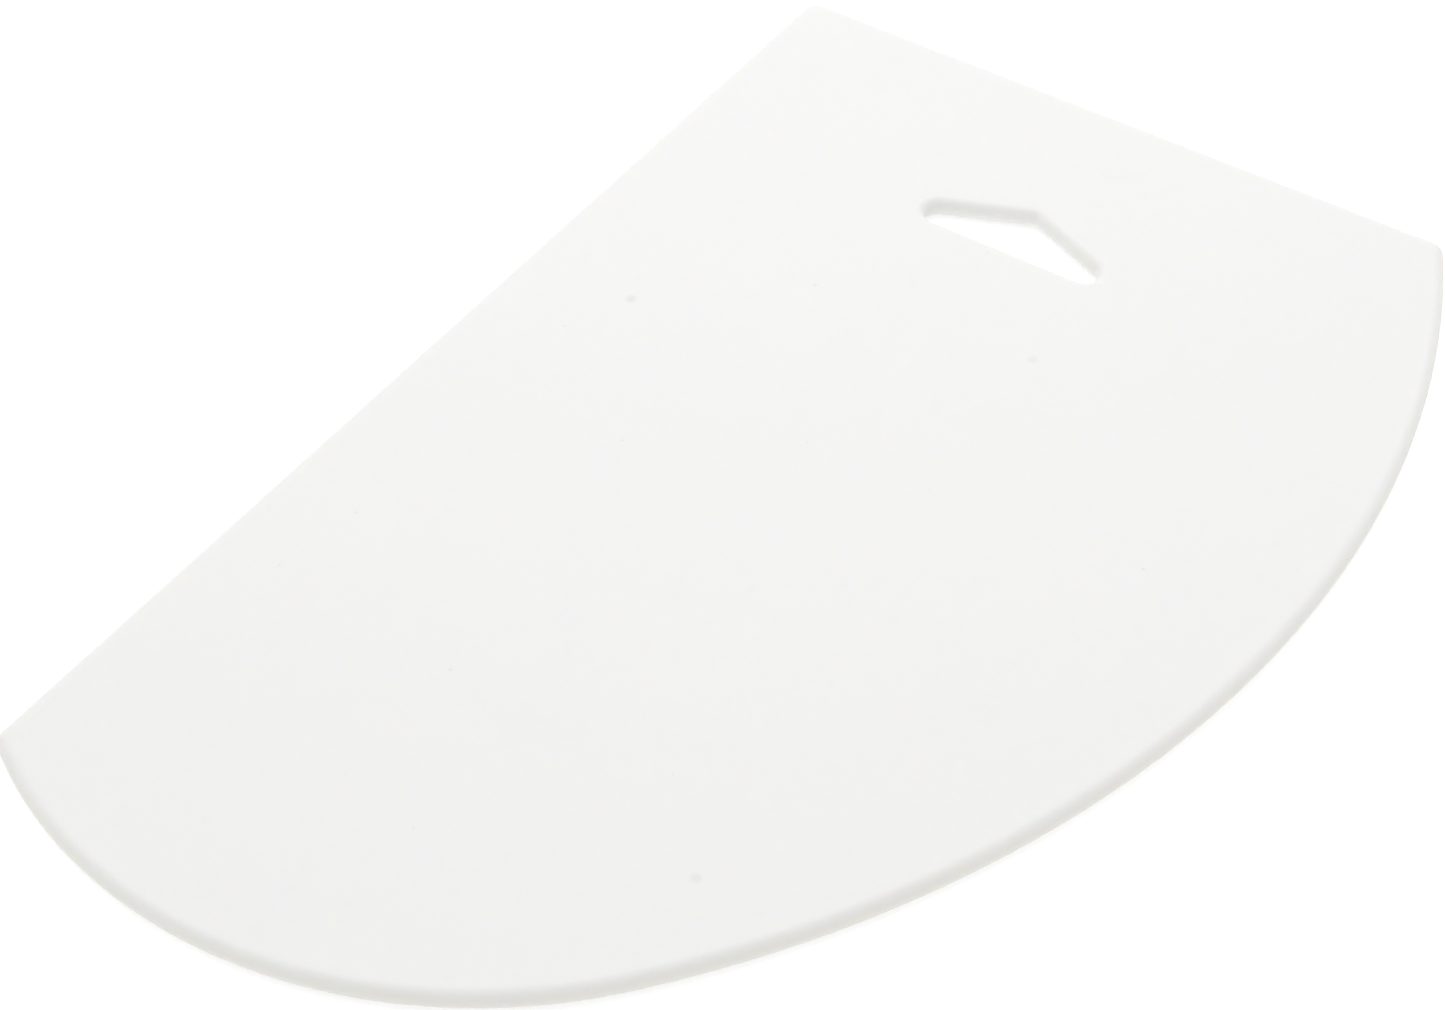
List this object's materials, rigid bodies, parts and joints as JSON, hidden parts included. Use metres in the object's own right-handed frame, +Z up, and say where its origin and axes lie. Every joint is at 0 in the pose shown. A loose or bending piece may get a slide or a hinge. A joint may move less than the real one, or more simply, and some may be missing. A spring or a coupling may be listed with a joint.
{
  "type": "transfer board",
  "caption": "Flat D-shaped sheet of white plastic with rounded edges and a triangular hand hole; bridges two seats so that a person can slide across.",
  "frame": {"origin": "under the middle of the bounding box, on the underside", "axes": "+X along the long straight edge, away from the short straight edge that has the hand hole; +Y from the long straight edge towards the curved front; +Z up through the sheet"},
  "size_m": [0.633, 0.403, 0.01],
  "materials": {
    "white_plastic": "smooth, low sheen, as extruded sheet with machined edges"
  },
  "bodies": {
    "root": {"board": "white_plastic"}
  },
  "joints": []
}
